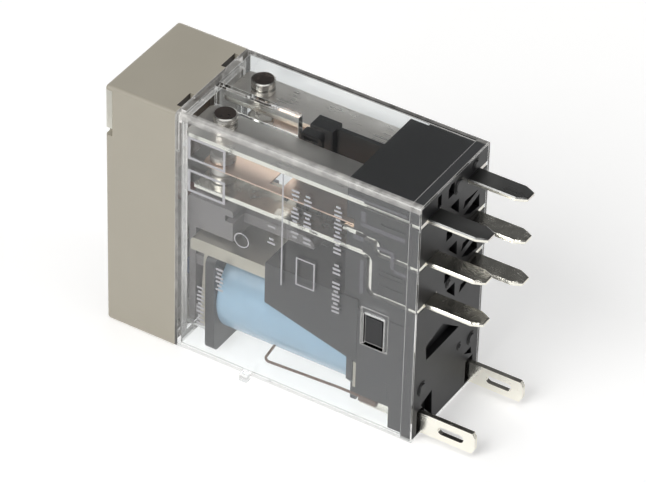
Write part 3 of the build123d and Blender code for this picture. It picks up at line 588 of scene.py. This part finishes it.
# --------------------------------------------------------------- operators
class RELAY_OT_case(bpy.types.Operator):
    """Clear case, cap, light window and nameplate"""
    bl_idname = "relay.case"
    bl_label = "Case and cap"

    def execute(self, context):
        look = context.scene.relay_mouldings
        paint(["clear_case"], clear_plastic("Clear case", look.case_tint, look.case_roughness,
                                            box=True))
        cap = moulded("Cap plastic", look.cap, 0.32, grain=0.15, drift=0.06, edge=0.3)
        tree = cap.node_tree
        # Painted shade: cap faces turned squarely to +X, into the snap slots, take the dark slot
        # colour.
        facing = axes(tree, node(tree, "ShaderNodeTexCoord").outputs["Normal"])
        recolour(tree, tree.nodes["Principled BSDF"],
                 math_node(tree, "GREATER_THAN", facing["X"], SQUARE), look.slot_shade)
        paint(["top_cap"], cap)
        paint(["indicator_lens"], clear_plastic("Frosted lens", look.lens, 0.35, haze=0.45))
        paint(["nameplate"], moulded("Blank plate", look.plate, 0.55, grain=0.2))
        return {"FINISHED"}


class RELAY_OT_mouldings(bpy.types.Operator):
    """Terminal base, contact block, card, bobbin, holder, button and flag"""
    bl_idname = "relay.mouldings"
    bl_label = "Inner mouldings"

    def execute(self, context):
        look = context.scene.relay_mouldings
        paint(["terminal_base"], moulded("Base moulding", look.base, 0.45, grain=0.03,
                                         scale=16000.0, edge=0.35, dust=0.08))
        paint(["contact_block", "card"], moulded("Block moulding", look.black, 0.4, grain=0.03,
                                                 scale=16000.0, edge=0.3))
        paint(["bobbin"], moulded("Bobbin moulding", look.bobbin, 0.4, grain=0.3))
        paint(["armature_holder"], moulded("Natural moulding", look.holder, 0.42, grain=0.2,
                                           edge=0.2, drift=0.08))
        paint(["test_button"], moulded("Button plastic", look.button, 0.35, grain=0.2))
        paint(["indicator_flag"], moulded("Flag plastic", look.flag, 0.4, grain=0.2))
        return {"FINISHED"}


class RELAY_OT_terminals(bpy.types.Operator):
    """Contact blades, their inner strips and the coil blades"""
    bl_idname = "relay.terminals"
    bl_label = "Blades and strips"

    def execute(self, context):
        look = context.scene.relay_metals
        bright = strip_metal("Bright blade", look.blade, 0.16, tarnish=0.45, cut=True, waves=6.0,
                             cloud=620.0, tarnish_colour=DULL_NICKEL)
        paint(pairs("com_terminal", "nc_terminal", "coil_terminal"), bright)
        grey = strip_metal("Grey strip", look.strip, 0.28, tarnish=0.3, edge=0.3, cut=True,
                           waves=1.0, cloud=220.0)
        tree = grey.node_tree
        # Painted reflection: upward faces outside the base take the dark blade-top colour, for the
        # dark room they mirror.
        place = node(tree, "ShaderNodeTexCoord").outputs
        outside = math_node(tree, "GREATER_THAN", axes(tree, place["Object"])["X"],
                            high("terminal_base").x * MM)
        upper = math_node(tree, "GREATER_THAN", axes(tree, place["Normal"])["Z"], FLAT)
        recolour(tree, tree.nodes["Principled BSDF"],
                 math_node(tree, "MULTIPLY", outside, upper), look.blade_top_reflection)
        paint(pairs("no_terminal"), grey)
        return {"FINISHED"}


class RELAY_OT_contacts(bpy.types.Operator):
    """Rivets, moving contacts and moving springs"""
    bl_idname = "relay.contacts"
    bl_label = "Contacts and springs"

    def execute(self, context):
        look = context.scene.relay_metals
        silver = strip_metal("Silver contact", look.silver, 0.28, tarnish=0.45,
                             stretch=(900.0, 900.0, 2600.0))
        copper = strip_metal("Copper leaf", look.spring, 0.3, tarnish=0.06, line=0.015,
                             tarnish_colour=(0.32, 0.17, 0.10))
        paint(pairs("nc_contact", "moving_contact"), silver)
        rivet = strip_metal("Rivet silver", look.silver, 0.24, tarnish=0.2,
                            stretch=(900.0, 900.0, 6000.0))
        tree = rivet.node_tree
        place = node(tree, "ShaderNodeTexCoord").outputs
        head = high("no_contact_front").z - 0.3
        above = math_node(tree, "GREATER_THAN", axes(tree, place["Object"])["Z"], head * MM)
        flat = math_node(tree, "GREATER_THAN", axes(tree, place["Normal"])["Z"], SQUARE)
        recolour(tree, tree.nodes["Principled BSDF"], math_node(tree, "MULTIPLY", above, flat),
                 look.rivet_top)
        paint(pairs("no_contact"), rivet)
        paint(pairs("moving_spring"), copper)
        return {"FINISHED"}


class RELAY_OT_coil(bpy.types.Operator):
    """Core, yoke, armature, winding, tape and coil leads"""
    bl_idname = "relay.coil"
    bl_label = "Coil and iron"

    def execute(self, context):
        metals = context.scene.relay_metals
        coil = context.scene.relay_coil
        iron = strip_metal("Plated iron", metals.iron, 0.34, tarnish=0.4, line=0.25)
        paint(["yoke", "core", "armature"], iron)
        paint(["hinge_spring", "button_spring"],
              strip_metal("Spring steel", metals.silver, 0.22, tarnish=0.15))
        paint(["winding"], strip_metal("Winding wire", coil.winding, 0.35, tarnish=0.2,
                                       stretch=(9000.0, 40.0, 40.0), line=0.6))
        tape, tree, shader = base_material("Coil tape")
        texture = place_group(tree, "grain", {
            "Colour": rgba(coil.tape), "Roughness": 0.22, "Grain scale": 1400.0, "Drift": 0.25,
            "Drift scale": 300.0, "Roughness drift": 0.2})
        wire(tree, (texture.outputs["Colour"], shader.inputs["Base Color"]),
             (texture.outputs["Roughness"], shader.inputs["Roughness"]))
        bump(tree, shader, texture.outputs["Height"], 0.2, 0.00004)
        paint(["coil_tape"], tape)
        paint(pairs("coil_lead"), moulded("Enamelled wire", metals.wire, 0.3, grain=0.1))
        return {"FINISHED"}


class RELAY_OT_indicator(bpy.types.Operator):
    """Indicator board with its light, resistor, diode and wires"""
    bl_idname = "relay.indicator"
    bl_label = "Indicator circuit"

    def execute(self, context):
        metals = context.scene.relay_metals
        paint(["indicator_board"], moulded(
            "Board laminate", context.scene.relay_mouldings.board, 0.3))
        paint(["led"], clear_plastic("Light body", (0.85, 0.95, 0.85), 0.2, haze=0.6))
        paint(["resistor", "diode"], moulded("Component body", (0.02, 0.02, 0.02), 0.3))
        paint(pairs("indicator_lead"),
              strip_metal("Tinned wire", metals.solder, 0.3, tarnish=0.3))
        return {"FINISHED"}


def bar(shape, x, z, y, depth):
    """Thin raised bar between two X-Z corners in mm, standing depth off a wall at y."""
    corners = [(x[0], z[0]), (x[1], z[0]), (x[1], z[1]), (x[0], z[1])]
    rings = [[shape.verts.new((px * MM, py * MM, pz * MM)) for px, pz in corners]
             for py in (y, y - depth)]
    shape.faces.new(rings[0])
    shape.faces.new(rings[1][::-1])
    for first in range(4):
        after = (first + 1) % 4
        shape.faces.new((rings[0][first], rings[0][after], rings[1][after], rings[1][first]))


def arc(centre, radius, degrees):
    """Points at the given angles on a circle."""
    return [(centre[0] + radius * math.cos(math.radians(turn)),
             centre[1] + radius * math.sin(math.radians(turn))) for turn in degrees]


def stroke(shape, path, width, y, depth, closed=False, on_end=False):
    """Line of constant width along X-Z points in mm, mitred; on_end lays it along Y-Z."""
    count = len(path)
    inner, outer = [], []
    for index, point in enumerate(path):
        here = Vector(point)
        before = Vector(path[index - 1]) if closed or index else None
        after = Vector(path[(index + 1) % count]) if closed or index < count - 1 else None
        leave = (after - here).normalized() if after is not None else None
        arrive = (here - before).normalized() if before is not None else leave
        leave = leave if leave is not None else arrive
        across = Vector((-(arrive + leave).y, (arrive + leave).x)).normalized()
        reach = width / 2 / max(0.4, across.dot(Vector((-leave.y, leave.x))))
        for row, sign in ((inner, -1), (outer, 1)):
            spot = here + across * reach * sign
            row.append([shape.verts.new((py * MM, spot.x * MM, spot.y * MM) if on_end else
                                        (spot.x * MM, py * MM, spot.y * MM))
                        for py in (y, y - depth)])
    last = count if closed else count - 1
    for index in range(last):
        after = (index + 1) % count
        a, b, c, d = inner[index], inner[after], outer[after], outer[index]
        for level in (0, 1):
            shape.faces.new((a[level], b[level], c[level], d[level]))
        shape.faces.new((a[0], b[0], b[1], a[1]))
        shape.faces.new((d[0], c[0], c[1], d[1]))
    if not closed:
        for a, d in ((inner[0], outer[0]), (inner[-1], outer[-1])):
            shape.faces.new((a[0], d[0], d[1], a[1]))


class RELAY_OT_marks(bpy.types.Operator):
    """Plain print on the case wall, ribs of the contact block drawn pale as painted light, posts
    on the blade end and painted shade beside them
    """
    bl_idname = "relay.marks"
    bl_label = "Print, ribs and posts"

    def execute(self, context):
        look = context.scene.relay_mouldings
        start = low("top_cap")
        wall = start.y - PRINT_GAP

        def at(point):
            return (start.x + point[0], point[1])

        def print_marks(shape):
            """Line, frames, ring and rows of short bars on the front wall."""
            stroke(shape, [at(p) for p in PRINT_LINE], LINE_WIDE, wall, PRINT_THICK)
            for x, runs in BAR_ROWS:
                for foot, head in runs:
                    for index in range(max(1, int((head - foot) / BAR_STEP))):
                        z = foot + index * BAR_STEP
                        half = (BAR_LONG if (index * 5 + int(x)) % 3 else BAR_SHORT) / 2
                        bar(shape, (start.x + x - half, start.x + x + half), (z, z + BAR_WIDE),
                            wall, PRINT_THICK)
            stroke(shape, [at(p) for p in PRINT_FRAME], FRAME_WIDE, wall, PRINT_THICK,
                   closed=True)
            x0, x1 = LARGE_FRAME_X
            for foot in LARGE_FRAME_FEET:
                head = foot + LARGE_FRAME_TALL
                stroke(shape, [at(p) for p in ((x0, foot), (x1, foot), (x1, head), (x0, head))],
                       LARGE_FRAME_WIDE, wall, PRINT_THICK, closed=True)
            ring = arc(at(RING_CENTRE), RING_RADIUS, range(0, 360, 15))
            stroke(shape, ring, RING_WIDE, wall, PRINT_THICK, closed=True)

        def ribs(shape, side):
            """Wall-side ribs of the block's outer face."""
            wall_side = (high("contact_block").y + RIB_GAP) * side
            for x, z in BLOCK_RIBS:
                bar(shape, (start.x + x[0], start.x + x[1]), z, wall_side, -RIB_THICK * side)

        face = high("terminal_base").x

        def posts(shape):
            """Round posts that stand off the blade end of the base."""
            turn = Matrix.Rotation(math.radians(90), 4, "Y")
            for y, z, radius in END_POSTS:
                middle = face - POST_SUNK + POST_TALL / 2
                spot = Matrix.Translation((middle * MM, y * MM, z * MM))
                bmesh.ops.create_cone(shape, cap_ends=True, segments=40, radius1=radius * MM,
                                      radius2=(radius - POST_TAPER) * MM, depth=POST_TALL * MM,
                                      matrix=spot @ turn)

        def crescents(shape):
            """Painted shade: dark half rings on the upper front side of the posts, standing in for
            shaded recesses.
            """
            for y, z, radius in END_POSTS:
                stroke(shape, arc((y, z), radius + CRESCENT_GAP, range(50, 245, 8)),
                       CRESCENT_WIDE, face + PRINT_GAP, -PRINT_THICK, on_end=True)

        mesh_piece("wall_print", print_marks,
                   moulded("Wall print", look.print_ink, 0.6, grain=0.1, edge=0.0))
        # Painted light: ribs in pale grey, though the block is black, for the changed reflection
        # where it meets the case wall.
        rib_light_look = moulded("Rib painted light", look.rib_light, 0.5, grain=0.05, edge=0.0)
        for name, side in (("front", -1), ("rear", 1)):
            mesh_piece("block_ribs_" + name, lambda shape, way=side: ribs(shape, way), rib_light_look)
        mesh_piece("end_posts", posts, moulded("Post moulding", look.base, 0.42, grain=0.03))
        # Painted shade: flat dark half rings beside the posts.
        mesh_piece("end_painted_shade", crescents, moulded("Deep shade", look.post_shade, 0.7))
        return {"FINISHED"}


class RELAY_OT_stage(bpy.types.Operator):
    """Pale floor, soft lights and the camera"""
    bl_idname = "relay.stage"
    bl_label = "Stage"

    def execute(self, context):
        stage = context.scene.relay_stage
        mesh = bpy.data.meshes.new("floor")
        shape = bmesh.new()
        bmesh.ops.create_grid(shape, x_segments=8, y_segments=8, size=FLOOR_HALF)
        shape.to_mesh(mesh)
        shape.free()
        floor = bpy.data.objects.new("floor", mesh)
        floor.location = (0, 0, bounds[0].z)
        context.scene.collection.objects.link(floor)
        made, tree, shader = base_material("Floor")
        texture = place_group(tree, "grain", {
            "Colour": rgba(stage.floor), "Roughness": 0.6, "Grain scale": 800.0,
            "Drift": 0.02, "Drift scale": 12.0})
        wire(tree, (texture.outputs["Colour"], shader.inputs["Base Color"]),
             (texture.outputs["Roughness"], shader.inputs["Roughness"]))
        shader.inputs["Emission Color"].default_value = (1, 1, 1, 1)
        shader.inputs["Emission Strength"].default_value = stage.floor_lift
        mesh.materials.append(made)

        a, e, r = stage.azimuth, stage.elevation, stage.roll
        back = Vector((math.sin(a) * math.cos(e), -math.cos(a) * math.cos(e), math.sin(e)))
        right = Vector((math.cos(a), math.sin(a), 0))
        up = back.cross(right)
        right, up = (right * math.cos(r) + up * math.sin(r),
                     up * math.cos(r) - right * math.sin(r))
        camera_data = bpy.data.cameras.new("camera")
        camera_data.sensor_width = 36
        camera_data.lens = stage.lens
        camera_data.clip_start = 0.01
        camera_data.clip_end = 10
        camera = bpy.data.objects.new("camera", camera_data)
        camera.matrix_world = Matrix.Translation(
            CAMERA_TARGET + back * stage.distance) @ Matrix(
                (right, up, back)).transposed().to_4x4()
        context.scene.collection.objects.link(camera)
        context.scene.camera = camera

        for name, spot, width, height, share in LAMPS:
            lamp = bpy.data.lights.new(name, "AREA")
            lamp.shape = "RECTANGLE"
            lamp.size = width
            lamp.size_y = height
            lamp.energy = stage.key * share
            holder = bpy.data.objects.new(name, lamp)
            holder.location = spot
            aim = LAMP_AIM - Vector(spot)
            holder.rotation_euler = aim.to_track_quat("-Z", "Y").to_euler()
            context.scene.collection.objects.link(holder)
        world = bpy.data.worlds.new("studio")
        world.use_nodes = True
        world.node_tree.nodes["Background"].inputs["Color"].default_value = (0.97, 0.98, 1, 1)
        world.node_tree.nodes["Background"].inputs["Strength"].default_value = stage.surround
        context.scene.world = world
        context.scene.view_settings.view_transform = "Standard"
        return {"FINISHED"}


class RELAY_PT_panel(bpy.types.Panel):
    """Lists the relay's pieces and the stage"""
    bl_idname = "RELAY_PT_panel"
    bl_label = "Plug-in relay"
    bl_space_type = "VIEW_3D"
    bl_region_type = "UI"
    bl_category = "Relay"

    def draw(self, context):
        for operator in OPERATORS:
            self.layout.operator(operator.bl_idname)


OPERATORS = (RELAY_OT_case, RELAY_OT_mouldings, RELAY_OT_terminals, RELAY_OT_contacts,
             RELAY_OT_coil, RELAY_OT_indicator, RELAY_OT_marks, RELAY_OT_stage)
GROUP_PROPS = (("relay_mouldings", RELAY_PG_mouldings), ("relay_metals", RELAY_PG_metals),
               ("relay_coil", RELAY_PG_coil), ("relay_stage", RELAY_PG_stage))


def register():
    """Registers the classes and hangs the settings on the scene."""
    for name, kind in GROUP_PROPS:
        bpy.utils.register_class(kind)
        setattr(bpy.types.Scene, name, bpy.props.PointerProperty(type=kind))
    for kind in OPERATORS + (RELAY_PT_panel,):
        bpy.utils.register_class(kind)


def unregister():
    """Removes what register added."""
    for kind in (RELAY_PT_panel,) + OPERATORS[::-1]:
        bpy.utils.unregister_class(kind)
    for name, kind in reversed(GROUP_PROPS):
        delattr(bpy.types.Scene, name)
        bpy.utils.unregister_class(kind)


def main():
    """Builds the looks in order."""
    register()
    for operator in OPERATORS:
        family, call = operator.bl_idname.split(".")
        getattr(getattr(bpy.ops, family), call)()


if __name__ == "__main__":
    main()
